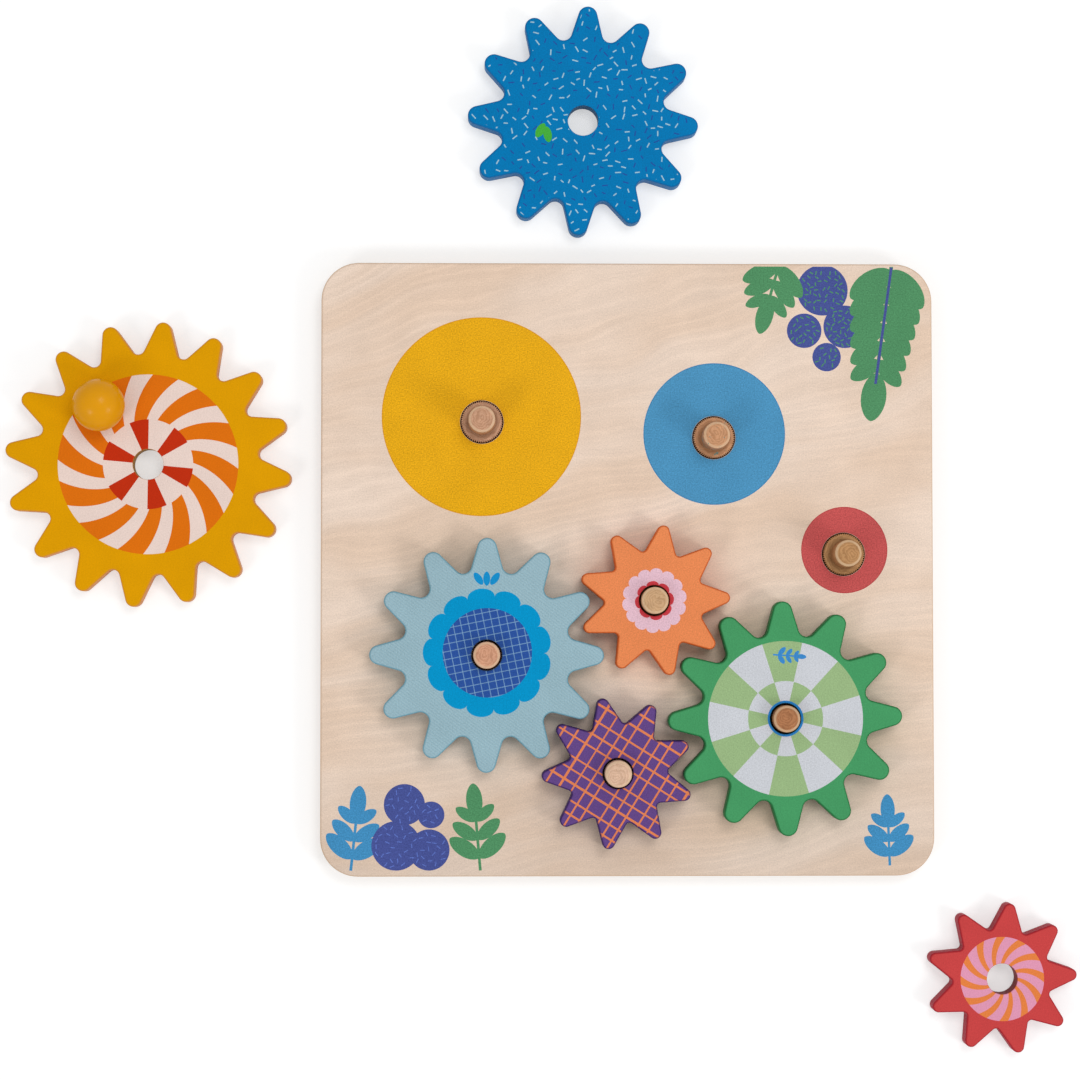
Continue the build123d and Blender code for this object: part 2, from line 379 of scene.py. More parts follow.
class Graph:
    """Adds nodes to one node tree. Values are numbers, tuples or sockets, and results sockets."""

    def __init__(self, tree):
        self.tree = tree

    def feed(self, socket, value):
        if isinstance(value, bpy.types.NodeSocket):
            self.tree.links.new(value, socket)
        else:
            socket.default_value = value

    def node(self, kind, inputs, output=0, **settings):
        made = self.tree.nodes.new(kind)
        for setting, value in settings.items():
            setattr(made, setting, value)
        for socket, value in inputs.items():
            self.feed(made.inputs[socket], value)
        return made.outputs[output]

    def math(self, operation, *values):
        return self.node("ShaderNodeMath", dict(enumerate(values)), operation=operation)

    def vector(self, operation, *values, output=0):
        inputs = dict(enumerate(values))
        return self.node("ShaderNodeVectorMath", inputs, output, operation=operation)

    def stretched(self, vector, *factors):
        return self.vector("MULTIPLY", vector, factors)

    def scaled(self, vector, factor):
        return self.node("ShaderNodeVectorMath", {0: vector, 3: factor}, operation="SCALE")

    def mix(self, factor, first, second, blend="MIX"):
        inputs = {0: factor, 6: first, 7: second}
        return self.node("ShaderNodeMix", inputs, 2, data_type="RGBA", blend_type=blend)

    def swung(self, value, noise, amount):
        """Value plus an amount of a noise's distance from one half."""
        return self.math("MULTIPLY_ADD", self.math("SUBTRACT", noise, 0.5), amount, value)

    def from_whole(self, value):
        """Distance of a value from the nearest whole number."""
        part = self.math("FRACT", self.math("ADD", value, 0.5))
        return self.math("ABSOLUTE", self.math("SUBTRACT", part, 0.5))

    def span(self, value, low, high, to_low=0.0, to_high=1.0):
        """Value carried smoothly from low..high to to_low..to_high, held at both ends."""
        inputs = {0: value, 1: low, 2: high, 3: to_low, 4: to_high}
        return self.node("ShaderNodeMapRange", inputs, interpolation_type="SMOOTHSTEP")

    def noise(self, vector, scale, detail=2.0, roughness=0.5):
        inputs = {"Vector": vector, "Scale": scale, "Detail": detail, "Roughness": roughness}
        return self.node("ShaderNodeTexNoise", inputs)

    def xyz(self, vector):
        made = self.tree.nodes.new("ShaderNodeSeparateXYZ")
        self.feed(made.inputs[0], vector)
        return made.outputs

    def plan_length(self, vector):
        x, y, z = self.xyz(vector)
        squares = self.math("ADD", self.times(x, x), self.times(y, y))
        return self.math("SQRT", squares)

    def dress(self, node, **values):
        """Feeds a node's inputs by name, with underscores for spaces."""
        for name, value in values.items():
            self.feed(node.inputs[name.replace("_", " ")], value)

    def group(self, shared, **values):
        """Places a shared group with its values."""
        made = self.tree.nodes.new("ShaderNodeGroup")
        made.node_tree = shared
        self.dress(made, **values)
        return made.outputs

    def ink(self):
        """Colour and cover of the shapes printed on a piece, which its ink attribute holds."""
        made = self.tree.nodes.new("ShaderNodeAttribute")
        made.attribute_name = "ink"
        return made.outputs["Color"], made.outputs["Alpha"]

    def times(self, *factors):
        product = factors[0]
        for factor in factors[1:]:
            product = self.math("MULTIPLY", product, factor)
        return product


def shared_group(name, outputs, **inputs):
    """Makes a shader node group with named sockets out of a function, which takes a Graph and
    the inputs by name and gives back one socket for each output. Underscores become spaces."""
    inputs = {label.replace("_", " "): default for label, default in inputs.items()}
    kinds = {3: "NodeSocketVector", 4: "NodeSocketColor"}

    def built(build):
        tree = bpy.data.node_groups.new(name, "ShaderNodeTree")
        for label, default in inputs.items():
            kind = kinds[len(default)] if isinstance(default, tuple) else "NodeSocketFloat"
            socket = tree.interface.new_socket(label, in_out="INPUT", socket_type=kind)
            socket.default_value = default
        for label in outputs:
            kind = "NodeSocketColor" if label == "Colour" else "NodeSocketFloat"
            tree.interface.new_socket(label, in_out="OUTPUT", socket_type=kind)
        given = tree.nodes.new("NodeGroupInput").outputs
        wanted = tree.nodes.new("NodeGroupOutput").inputs
        results = build(Graph(tree), {label: given[label] for label in inputs})
        for label, result in zip(outputs, results):
            tree.links.new(result, wanted[label])
        return tree

    return built


ORIGIN = (0.0, 0.0, 0.0)
WHITE = (1.0, 1.0, 1.0, 1.0)


@shared_group("plan polar", ["Radius", "Turn"], Vector=ORIGIN)
def polar(g, given):
    """Radius is the length of the plan vector, and Turn its angle in whole turns."""
    x, y, z = g.xyz(given["Vector"])
    turn = g.math("DIVIDE", g.math("ARCTAN2", y, x), 2 * pi)
    return g.plan_length(given["Vector"]), turn


@shared_group("swirl stripes", ["Mask"], Radius=0.0, Turn=0.0, Pairs=12.0, Start=0.0,
              Sweep=0.0, Share=0.5)
def swirl(g, given):
    """Stripes that curl with the radius: the mask is 1 where turn plus sweep times radius, less
    start, times pairs, lies within half the share of a whole number."""
    curl = g.math("MULTIPLY_ADD", given["Radius"], given["Sweep"], given["Turn"])
    pairs = g.times(g.math("SUBTRACT", curl, given["Start"]), given["Pairs"])
    return (g.math("LESS_THAN", g.from_whole(pairs), g.times(given["Share"], 0.5)),)


@shared_group("scalloped disc", ["Mask"], Radius=0.0, Turn=0.0, Lobes=12.0, Start=0.0,
              Cusp_Radius=20.0, Lobe_Height=3.0)
def scallops(g, given):
    """A disc with a lobed edge: the edge's radius is the cusp radius plus the lobe's height times
    the square root of one minus the square of the place along the lobe."""
    lobes = g.times(g.math("SUBTRACT", given["Turn"], given["Start"]), given["Lobes"])
    place = g.times(g.from_whole(lobes), 2)
    arch = g.math("SQRT", g.math("MAXIMUM", g.math("SUBTRACT", 1, g.times(place, place)), 0))
    edge = g.math("MULTIPLY_ADD", arch, given["Lobe Height"], given["Cusp Radius"])
    return (g.math("LESS_THAN", given["Radius"], edge),)


@shared_group("ruled lines", ["Mask"], Vector=ORIGIN, Direction=0.0, Pitch=4.0, Width=0.6,
              Uneven=0.0, Uneven_Scale=0.1)
def rules(g, given):
    """Parallel straight lines of a width and a pitch along a direction. The place across them is
    shifted by a noise of that place alone, which makes their spacing uneven."""
    rotation = g.node("ShaderNodeCombineXYZ", {2: g.math("RADIANS", given["Direction"])})
    turned = g.node("ShaderNodeMapping", {0: given["Vector"], 2: rotation}, vector_type="TEXTURE")
    only_across = g.stretched(turned, 0.0, 1.0, 0.0)
    shift = g.math("SUBTRACT", g.noise(only_across, given["Uneven Scale"], 1.0), 0.5)
    across = g.math("MULTIPLY_ADD", shift, given["Uneven"], g.xyz(turned)[1])
    saw = g.math("FRACT", g.math("DIVIDE", across, given["Pitch"]))
    from_line = g.times(g.math("ABSOLUTE", g.math("SUBTRACT", saw, 0.5)), given["Pitch"])
    return (g.math("LESS_THAN", from_line, g.times(given["Width"], 0.5)),)


@shared_group("paint finish", ["Colour", "Roughness", "Height"], Vector=ORIGIN, Colour=WHITE,
              Edge_Colour=WHITE, Edge=0.0, Pebble=0.2)
def finish(g, given):
    """Sprayed paint on sanded wood: a fine pebble, a faint cloud of lighter paint, a trace of
    the grain under it, and an edge colour on the arrises."""
    pebble = g.noise(given["Vector"], 1.5, 3.0, 0.65)
    cloud = g.noise(given["Vector"], 0.06, 2.0)
    along_grain = g.stretched(given["Vector"], 0.10, 1.6, 1.0)
    grain = g.noise(along_grain, 1.0, 2.0, 0.6)
    lift = g.swung(1, pebble, given["Pebble"])
    lift = g.swung(lift, cloud, 0.16)
    lift = g.swung(lift, grain, 0.07)
    tinted = g.mix(given["Edge"], g.scaled(given["Colour"], lift), given["Edge Colour"])
    roughness = g.span(pebble, 0.3, 0.7, 0.40, 0.52)
    height = g.math("MULTIPLY_ADD", grain, 0.5, pebble)
    return tinted, roughness, height


@shared_group("plywood edge", ["End Grain", "Glue"], Height=0.0, Layer=1.5)
def ply(g, given):
    """Edge of plywood: layers of equal height, every second one end grain, with thin glue lines."""
    layer = g.math("DIVIDE", given["Height"], given["Layer"])
    parity = g.math("FRACT", g.times(g.math("FLOOR", layer), 0.5))
    end_grain = g.math("GREATER_THAN", parity, 0.25)
    return end_grain, g.span(g.from_whole(layer), 0.04, 0.11, 1.0, 0.0)


@shared_group("veneer", ["Colour", "Height"], Vector=ORIGIN, Pale=WHITE, Dark=WHITE)
def veneer(g, given):
    """Rotary-cut veneer, seen along a grain that rises to the right: broad wavy figure, growth
    lines that come and go, silky streaks along it and short fibres."""
    turned = g.node(
        "ShaderNodeMapping", {0: given["Vector"], 2: (0.0, 0.0, radians(14))}, vector_type="TEXTURE"
    )
    bend = g.noise(g.stretched(turned, 0.6, 1.0, 1.0), 0.014, 2.0)
    bent = g.vector("ADD", turned, g.stretched(bend, 0.0, 55.0, 0.0))
    figure = g.noise(g.stretched(bent, 0.008, 0.035, 1.0), 1.0, 2.0)
    across = g.xyz(bent)[1]
    wave = g.math("SINE", g.math("MULTIPLY_ADD", figure, 9.0, g.times(across, 1.2)))
    line = g.math("POWER", g.math("MULTIPLY_ADD", wave, 0.5, 0.5), 3.0)
    strength = g.span(g.noise(bent, 0.018, 1.0), 0.35, 0.65, 0.015, 0.055)
    silk = g.noise(g.stretched(bent, 0.02, 0.42, 1.0), 1.0, 3.0, 0.65)
    fibre = g.noise(g.stretched(turned, 0.30, 1.9, 1.0), 1.0, 3.0, 0.7)
    wood = g.mix(g.span(figure, 0.3, 0.7), given["Pale"], given["Dark"])
    lift = g.math("MULTIPLY_ADD", line, strength, 1)
    lift = g.swung(g.swung(lift, silk, 0.14), fibre, 0.16)
    return g.scaled(wood, lift), fibre


@shared_group("turned beech", ["Colour", "Height"], Vector=ORIGIN, Heart=ORIGIN, Ring=1.3,
              Pale=WHITE, Dark=WHITE, Rim=WHITE, Smear=0.0)
def beech(g, given):
    """Turned beech: faint uneven rings round an off-centre heart on the upper faces, dark pores
    that run down the sides, a painted highlight round the pin's top and painted shade at its foot."""
    shift = g.node("ShaderNodeTexNoise", {"Vector": given["Vector"], "Scale": 0.28, "Detail": 3.0}, 1)
    shift = g.scaled(g.vector("SUBTRACT", shift, (0.5, 0.5, 0.5)), 5.0)
    bent = g.vector("ADD", g.vector("ADD", given["Vector"], given["Heart"]), shift)
    rings = g.math("DIVIDE", g.plan_length(bent), given["Ring"])
    ring = g.span(g.math("FRACT", rings), 0.15, 0.95)
    pore = g.noise(g.stretched(given["Vector"], 1.0, 1.0, 0.12), 2.6, 3.0, 0.75)
    cloud = g.noise(given["Vector"], 0.22, 2.0)
    wood = g.mix(g.times(ring, 0.52), given["Pale"], given["Dark"])
    lift = g.swung(g.swung(1, pore, 0.62), cloud, 0.5)
    z = g.xyz(given["Vector"])[2]
    from_axis = g.plan_length(given["Vector"])
    # Painted highlight: a paler ring on the bevel round the pin's top.
    rim = g.times(g.span(z, peg_top_z - 1.7, peg_top_z - 0.9, 0.0, 0.5),
                  g.span(from_axis, peg_pin_radius - 1.5, peg_pin_radius - 0.9))
    wood = g.mix(rim, g.scaled(wood, lift), given["Rim"])
    # Painted shade: the pin's side darkens towards its foot, and the shoulder round it darkens too.
    pin_foot_shade = g.times(g.span(z, peg_shoulder_z + 2.0, peg_top_z - 2.0, 0.62, 0.2),
                       g.span(from_axis, peg_pin_radius + 0.3, peg_pin_radius + 2.6, 1.0, 0.0),
                       g.math("LESS_THAN", z, peg_top_z - 1.2))
    wood = g.mix(pin_foot_shade, wood, g.scaled(given["Dark"], 0.62))
    blot = g.span(g.noise(given["Vector"], 0.42, 2.0, 0.6), 0.63, 0.68, 0.0, 0.75)
    return g.mix(g.times(blot, given["Smear"]), wood, srgb(66, 136, 132)), pore


def new_material(name):
    """Material with a bare Principled shader, with its graph and its shader."""
    material = bpy.data.materials.new(name)
    material.use_nodes = True
    material.node_tree.nodes.clear()
    graph = Graph(material.node_tree)
    shader = material.node_tree.nodes.new("ShaderNodeBsdfPrincipled")
    output = material.node_tree.nodes.new("ShaderNodeOutputMaterial")
    material.node_tree.links.new(shader.outputs[0], output.inputs[0])
    return material, graph, shader


def piece_place(graph, centre, height=0.0, turn=0.0):
    """Object coordinates in millimetres from a piece's own centre, turned with the piece."""
    coordinates = graph.node("ShaderNodeTexCoord", {}, 3)
    inputs = {
        0: coordinates,
        1: (centre[0] * MM, centre[1] * MM, height * MM),
        2: (0.0, 0.0, radians(turn)),
        3: (MM, MM, MM),
    }
    return graph.node("ShaderNodeMapping", inputs, vector_type="TEXTURE")


def bump(graph, height, strength, distance):
    """Bump node that turns a height into a normal; the distance is in millimetres."""
    inputs = {"Strength": strength, "Distance": distance * MM, "Height": height}
    return graph.node("ShaderNodeBump", inputs)


# ---- gear paints


def inside(graph, ring, limit):
    """Mask of a disc."""
    return graph.math("LESS_THAN", ring["Radius"], limit)


def ringed(graph, pattern, ring, **values):
    """Mask of a shared pattern that goes round a centre."""
    return graph.group(pattern, Radius=ring["Radius"], Turn=ring["Turn"], **values)["Mask"]


def ruled(graph, place, direction, pitch, width, **values):
    """Mask of ruled lines."""
    return graph.group(rules, Vector=place, Direction=direction, Pitch=pitch, Width=width,
                       **values)["Mask"]


def plain_face(graph, place, ring, paint):
    return paint


def light_blue_face(graph, place, ring, paint):
    """Fine slanting stripes, a scalloped flower and a dark middle ruled in squares."""
    stripe = ruled(graph, place, 53.0, 1.3, 0.6)
    colour = graph.mix(graph.times(stripe, 0.28), paint, srgb(172, 196, 200))
    off_centre = graph.vector("SUBTRACT", place, (1.15, -0.3, 0.0))
    ring = graph.group(polar, Vector=off_centre)
    flower = ringed(graph, scallops, ring, Lobes=13.0, Start=6.6 / 360, Cusp_Radius=27.3,
                    Lobe_Height=3.9)
    colour = graph.mix(flower, colour, srgb(2, 146, 200))
    middle_disc = inside(graph, ring, 21.6)
    colour = graph.mix(middle_disc, colour, srgb(44, 82, 156))
    for direction in (11.8, 101.8):
        line = ruled(graph, place, direction, 3.7, 0.42)
        colour = graph.mix(graph.times(line, middle_disc, 0.6), colour, srgb(135, 175, 205))
    return colour


def orange_face(graph, place, ring, paint):
    """A pink flower with a red one inside it."""
    pink = ringed(graph, scallops, ring, Lobes=14.0, Start=0.01, Cusp_Radius=13.4, Lobe_Height=2.3)
    red = ringed(graph, scallops, ring, Lobes=8.0, Start=0.04, Cusp_Radius=7.6, Lobe_Height=1.9)
    colour = graph.mix(pink, paint, srgb(228, 190, 204))
    return graph.mix(red, colour, srgb(203, 62, 72))


def green_face(graph, place, ring, paint):
    """Two rings of six pale green and six white fields, set against each other."""
    disc = inside(graph, ring, 37.6)
    inner = inside(graph, ring, 18.2)
    outer_white = ringed(graph, swirl, ring, Pairs=6.0, Start=31.1 / 360)
    inner_white = ringed(graph, swirl, ring, Pairs=6.0, Start=0.7 / 360)
    white = graph.node("ShaderNodeMix", {0: inner, 2: outer_white, 3: inner_white})
    fields = graph.mix(white, srgb(152, 181, 130), srgb(202, 205, 211))
    colour = graph.mix(disc, paint, fields)
    return graph.mix(inside(graph, ring, 8.7), colour, srgb(45, 130, 200))


def purple_face(graph, place, ring, paint):
    """Orange lines at uneven distances both ways, like a loosely drawn tartan."""
    colour = paint
    for direction, pitch in ((-94.2, 6.6), (-4.2, 6.1)):
        line = ruled(graph, place, direction, pitch, 0.95, Uneven=7.0, Uneven_Scale=0.09)
        colour = graph.mix(line, colour, srgb(222, 128, 82))
    return colour


def crank_face(graph, place, ring, paint):
    """Twelve curling pairs of cream and orange round six red and six cream fields."""
    disc = inside(graph, ring, 44.0)
    inner = inside(graph, ring, 22.0)
    cream = ringed(graph, swirl, ring, Pairs=12.0, Start=51.9 / 360, Sweep=0.954 / 360, Share=0.45)
    red = ringed(graph, swirl, ring, Pairs=6.0, Start=18.0 / 360, Share=0.42)
    cream_ink = srgb(234, 212, 202)
    outer = graph.mix(cream, srgb(222, 112, 14), cream_ink)
    fields = graph.mix(inner, outer, graph.mix(red, cream_ink, srgb(192, 48, 16)))
    return graph.mix(disc, paint, fields)


def red_face(graph, place, ring, paint):
    """Twelve curling pairs of pink and orange."""
    pink = ringed(graph, swirl, ring, Pairs=12.0, Start=36.5 / 360, Sweep=2.11 / 360, Share=0.59)
    fields = graph.mix(pink, srgb(226, 128, 66), srgb(222, 150, 178))
    return graph.mix(inside(graph, ring, 20.5), paint, fields)


# Low, because mirrored rays see the white background, which would pale the dark paints
paint_specular = 0.035

# Paint, wall tint, painted shade tint of the rounded edge, print on the upper face, strength of the
# pebble
gear_looks = {
    "light_blue_gear": ((146, 178, 190), (110, 160, 178), (108, 160, 178), light_blue_face, 0.85),
    "orange_gear": ((230, 136, 84), (205, 92, 34), (198, 88, 34), orange_face, 0.9),
    "green_gear": ((70, 152, 98), (38, 108, 60), (36, 112, 62), green_face, 0.8),
    "purple_gear": ((98, 70, 132), (62, 40, 96), (58, 36, 92), purple_face, 0.95),
    "crank_gear": ((222, 156, 0), (226, 158, 108), (216, 146, 40), crank_face, 0.45),
    "blue_gear": ((0, 119, 180), (62, 122, 178), (20, 104, 166), plain_face, 0.9),
    "red_gear": ((198, 68, 68), (172, 52, 68), (168, 32, 44), red_face, 0.55),
}


def gear_material(name):
    """Painted gear: its print above, and walls where the layers of the plywood show through,
    with painted shade in the bore and on the rounded upper edge."""
    turn, bottom_z, teeth = gears[name]
    *tones, face, pebble = gear_looks[name]
    paint, wall, arris_shade_tint = (srgb(*tone) for tone in tones)
    material, graph, shader = new_material(name + "_paint")
    place = piece_place(graph, hinge_place[name + "_spin"], bottom_z, turn)
    height = graph.xyz(place)[2]
    ring = graph.group(polar, Vector=place)
    ink, cover = graph.ink()
    colour = graph.mix(cover, face(graph, place, ring, paint), ink)
    upper = graph.span(height, gear_thickness - 0.75, gear_thickness - 0.25)
    layers = graph.group(ply, Height=height, Layer=gear_thickness / gear_layers)
    wall_colour = graph.mix(graph.times(layers["End Grain"], 0.35), wall, paint)
    wall_colour = graph.mix(graph.times(layers["Glue"], 0.2), wall_colour, srgb(60, 35, 30))
    # Painted shade: the bore's wall darkens to half the paint.
    bore_shade = graph.span(ring["Radius"], gear_bore_radius + 0.2, gear_bore_radius + 0.6, 1.0, 0.0)
    wall_colour = graph.mix(bore_shade, wall_colour, tuple(0.5 * channel for channel in paint))
    colour = graph.mix(upper, wall_colour, colour)
    # Painted shade: the rounded upper edge takes a darker tint of the paint.
    arris = graph.times(
        graph.span(height, gear_thickness - 1.1, gear_thickness - 0.5),
        graph.span(height, gear_thickness - 0.25, gear_thickness - 0.02, 1.0, 0.0),
        0.7,
    )
    coat = graph.group(finish, Vector=place, Colour=colour, Edge_Colour=arris_shade_tint,
                       Edge=arris, Pebble=pebble)
    graph.dress(shader, Base_Color=coat["Colour"], Roughness=coat["Roughness"],
                Specular_IOR_Level=paint_specular, Normal=bump(graph, coat["Height"], 0.35, 0.05))
    return material


# ---- prints cut into the meshes


def oval(x, y, length, width, direction, around=28):
    """Pointed oval: width times the sine, narrowed to the power 1.2, along a length."""
    t = np.linspace(0, 2 * pi, around, endpoint=False)
    along = 0.5 * length * np.cos(t)
    across = 0.5 * width * np.sign(np.sin(t)) * np.abs(np.sin(t)) ** 1.2
    return spun(np.stack([along, across], axis=1), direction) + (x, y)


def circle(x, y, radius, around=120):
    """Circle outline."""
    t = np.linspace(0, 2 * pi, around, endpoint=False)
    return np.stack([x + radius * np.cos(t), y + radius * np.sin(t)], axis=1)


def rod(x, y, length, width, direction):
    """Short straight dash."""
    corner = np.array([[-1, -1], [1, -1], [1, 1], [-1, 1]]) * 0.5 * np.array([length, width])
    return spun(corner, direction) + (x, y)


def leafy_sprig(x, y, length, direction, leaf_length, leaf_width, pairs, lean=52):
    """A stem with pairs of pointed leaves along it and one at its end."""
    shapes = [rod(0.5 * length, 0, length, 0.5 + 0.11 * leaf_width, 0)]
    for place in np.linspace(0.22, 0.86, pairs):
        size = 1.12 - 0.5 * place
        reach = 0.5 * leaf_length * size
        for angle in (-lean, lean):
            leaf_x = length * place + reach * cos(radians(angle))
            leaf_y = reach * sin(radians(angle))
            shapes.append(oval(leaf_x, leaf_y, leaf_length * size, leaf_width * size, angle))
    shapes.append(oval(length + 0.35 * leaf_length, 0, leaf_length, leaf_width, 0))
    return [spun(shape, direction) + (x, y) for shape in shapes]


def inked(shapes, colour):
    return [(shape, colour) for shape in shapes]


def strewn(spots, spacing, inside_shape):
    """Spots, in turn, that lie inside a shape and apart from those kept before."""
    kept = []
    for spot in spots:
        apart = all(hypot(*(spot - other)) > spacing for other in kept)
        if apart and inside_shape(spot):
            kept.append(spot)
    return kept


def sprinkles(centre):
    """Short dashes strewn at seeded random places, pale or navy, at random directions."""
    chance = np.random.default_rng(7)
    spots = strewn(chance.uniform(-58, 58, (4200, 2)), 3.35, lambda spot: True)
    pale, navy = srgb(158, 196, 212), srgb(34, 80, 156)
    prints = []
    for number, spot in enumerate(spots):
        shape = rod(*(centre + spot), chance.uniform(1.8, 3.1), 0.6, chance.uniform(0, 180))
        prints.append((shape, navy if number % 5 in (0, 3) else pale))
    return prints


def dotted(discs, spacing, length, width, colour, seed):
    """Discs (x, y, radius) filled with short random dashes that stay inside them."""
    chance = np.random.default_rng(seed)
    discs = np.array(discs, float)
    low = (discs[:, :2] - discs[:, 2:]).min(axis=0)
    high = (discs[:, :2] + discs[:, 2:]).max(axis=0)
    margin = 0.75 * length

    def within(spot):
        return any(hypot(spot[0] - x, spot[1] - y) < radius - margin for x, y, radius in discs)

    spots = strewn(chance.uniform(low, high, (1500, 2)), spacing, within)
    return [(rod(*spot, length, width, chance.uniform(0, 180)), colour) for spot in spots]


LEAF_GREEN = srgb(76, 142, 96)
INDIGO = srgb(66, 80, 148)
SKY = srgb(60, 140, 190)


def peg_spot(gear, shift, radius, colour, rim):
    """Printed circle that shows which gear stands on a peg, with a slightly darker rim."""
    x, y = middle(gear + "_peg") + shift
    return [(circle(x, y, radius), rim), (circle(x, y, radius - 0.45), colour)]


def board_prints():
    """Peg circles and generic sprigs in the corners, later shapes over earlier ones."""
    prints = peg_spot("crank_gear", (-0.2, 2.7), 48.8, srgb(231, 170, 6), srgb(220, 152, 4))
    prints += peg_spot("blue_gear", (0.25, 1.85), 34.8, srgb(72, 146, 190), srgb(54, 130, 180))
    prints += peg_spot("red_gear", (0.5, 2.1), 21.2, srgb(196, 82, 82), srgb(184, 66, 68))
    berries = [(96, 137, 12.5), (107, 119, 10.5), (87, 117, 8.5), (98, 104, 7)]
    prints += inked([circle(*berry) for berry in berries], INDIGO)
    prints += dotted(berries, 2.1, 1.9, 0.55, LEAF_GREEN, 3)
    prints += inked(leafy_sprig(132, 162, 70, 262, 24, 12.5, 6, 48), LEAF_GREEN)
    prints += inked([rod(126.1, 119.6, 58, 1.3, 262)], INDIGO)
    prints += inked(leafy_sprig(76, 154, 24, 254, 19, 8.5, 3), LEAF_GREEN)
    prints += inked(leafy_sprig(-135, -147, 27, 84, 17, 8, 3), SKY)
    pebbles = [(-113, -135, 12), (-97, -137, 10), (-109, -115, 10), (-96, -120, 6.5)]
    prints += inked([circle(*pebble) for pebble in pebbles], INDIGO)
    prints += dotted(pebbles, 2.8, 2.2, 0.45, srgb(92, 116, 196), 5)
    prints += inked(leafy_sprig(-72, -147, 28, 95, 17, 8, 3), LEAF_GREEN)
    prints += inked(leafy_sprig(128, -145, 22, 92, 15, 7, 3), SKY)
    return prints


# ---- the pieces


def make_gear(name):
    """Star gear with a rounded upper arris, its bore, and the crank gear's stepped spindle hole."""
    turn, bottom_z, teeth = gears[name]
    centre = hinge_place[name + "_spin"]
    top_z = bottom_z + gear_thickness
    rim = star_outline(centre, turn, *teeth)
    rim_section = edge_section(top_z, bottom_z, gear_upper_rounding, gear_lower_rounding)
    bore_section = edge_section(top_z, bottom_z, bore_edge_rounding, bore_edge_rounding, 4)
    edges = [rim + (rim_section,), round_hole(centre, gear_bore_radius) + (bore_section,)]
    prints = []
    if name == "crank_gear":
        step = retainer_recess_radius - spindle_hole_radius
        section = np.array([
            [-0.2, 0.0, 0.0, -0.1, 0.1 - step, -step, -step, -step - 0.2],
            [top_z, top_z - 0.2, retainer_recess_depth + 0.1, retainer_recess_depth,
             retainer_recess_depth, retainer_recess_depth - 0.1, 0.2, 0.0],
        ])
        edges.append(round_hole(middle("crank_spindle"), spindle_hole_radius) + (section,))
    if name == "blue_gear":
        prints = sprinkles(centre)
        prints += inked([oval(centre[0] - 21, centre[1] - 5, 8, 4.2, 60),
                         oval(centre[0] - 17.5, centre[1] - 7, 8, 4.2, 100)], srgb(70, 172, 60))
    if name == "light_blue_gear":
        prints = inked([oval(centre[0] + dx, centre[1] + 37, 7, 3.4, turned)
                        for dx, turned in ((-4, 125), (0, 90), (4, 55))], srgb(20, 140, 200))
    if name == "green_gear":
        prints = inked(leafy_sprig(centre[0] - 6, centre[1] + 31, 12, -4, 5, 2.4, 3),
                       srgb(60, 135, 200))
    body, slot = name.replace("_gear", "_wheel"), name.replace("_gear", "_paint")
    finish_mesh(name + "_wood", slab_parts(edges, prints), body, [name], gear_material(name))


def make_board():
    """Plywood board with rounded corners and arrises, seven blind holes and its print."""
    rim = rounded_square(board_side, board_corner_radius)
    top = board_thickness
    floor = top - peg_hole_depth
    edges = [rim + (edge_section(top, 0.0, board_upper_rounding, board_lower_rounding),)]
    hole_section = np.array([
        [-0.12, -0.06, -0.02, 0.0, 0.0, 0.0],
        [top, top, top - 0.02, top - 0.1, floor + 0.2, floor],
    ])
    for gear in gears:
        edges.append(round_hole(middle(gear + "_peg"), peg_hole_radius) + (hole_section,))
    parts = slab_parts(edges, board_prints())
    finish_mesh("board_plywood", parts, "baseboard", ["board"], board_material())


def board_material():
    """Lacquered veneer under thin ink, with painted shade towards the near edge and in the peg
    holes, and the plywood's layers on the edge.
    """
    material, graph, shader = new_material("plywood")
    place = piece_place(graph, (0.0, 0.0))
    x, y, height = graph.xyz(place)
    wood = graph.group(veneer, Vector=place, Pale=srgb(234, 213, 196), Dark=srgb(226, 200, 178))
    # Painted shade: the veneer darkens towards the near edge of the board.
    painted_near_shade = graph.span(y, -0.5 * board_side, -0.2 * board_side, 0.88, 1.0)
    veneer_colour = graph.scaled(wood["Colour"], painted_near_shade)
    layers = graph.group(ply, Height=height, Layer=board_thickness / board_layers)
    edge = graph.mix(layers["End Grain"], srgb(226, 196, 160), srgb(196, 156, 116))
    edge = graph.mix(graph.times(layers["Glue"], 0.5), edge, srgb(120, 82, 55))
    streak = graph.noise(graph.stretched(place, 0.5, 0.5, 3.0), 1.2, 2.0)
    edge = graph.scaled(edge, graph.swung(1, streak, 0.22))
    # Painted shade: the walls and floors of the peg holes turn dark brown.
    from_middle = graph.math("MAXIMUM", graph.math("ABSOLUTE", x), graph.math("ABSOLUTE", y))
    hole_shade = graph.span(from_middle, 0.46 * board_side, 0.48 * board_side, 1.0, 0.0)
    edge = graph.mix(hole_shade, edge, srgb(84, 54, 34))
    ink, cover = graph.ink()
    face = graph.mix(graph.times(cover, 0.985), veneer_colour, ink)
    upper = graph.span(height, board_thickness - 0.9, board_thickness - 0.35)
    lower = graph.span(height, 0.3, 0.75, 1.0, 0.0)
    colour = graph.mix(graph.math("MAXIMUM", upper, lower), edge, face)
    arris = graph.times(
        graph.span(height, board_thickness - 1.2, board_thickness - 0.6),
        graph.span(height, board_thickness - 0.25, board_thickness - 0.03, 1.0, 0.0),
        0.35,
    )
    pebble = graph.math("MULTIPLY_ADD", cover, 0.85, 0.6)
    coat = graph.group(finish, Vector=place, Colour=colour, Edge_Colour=srgb(205, 165, 125),
                       Edge=arris, Pebble=pebble)
    graph.dress(shader, Base_Color=coat["Colour"], Roughness=coat["Roughness"],
                Specular_IOR_Level=paint_specular, Normal=bump(graph, coat["Height"], 0.3, 0.04))
    return material


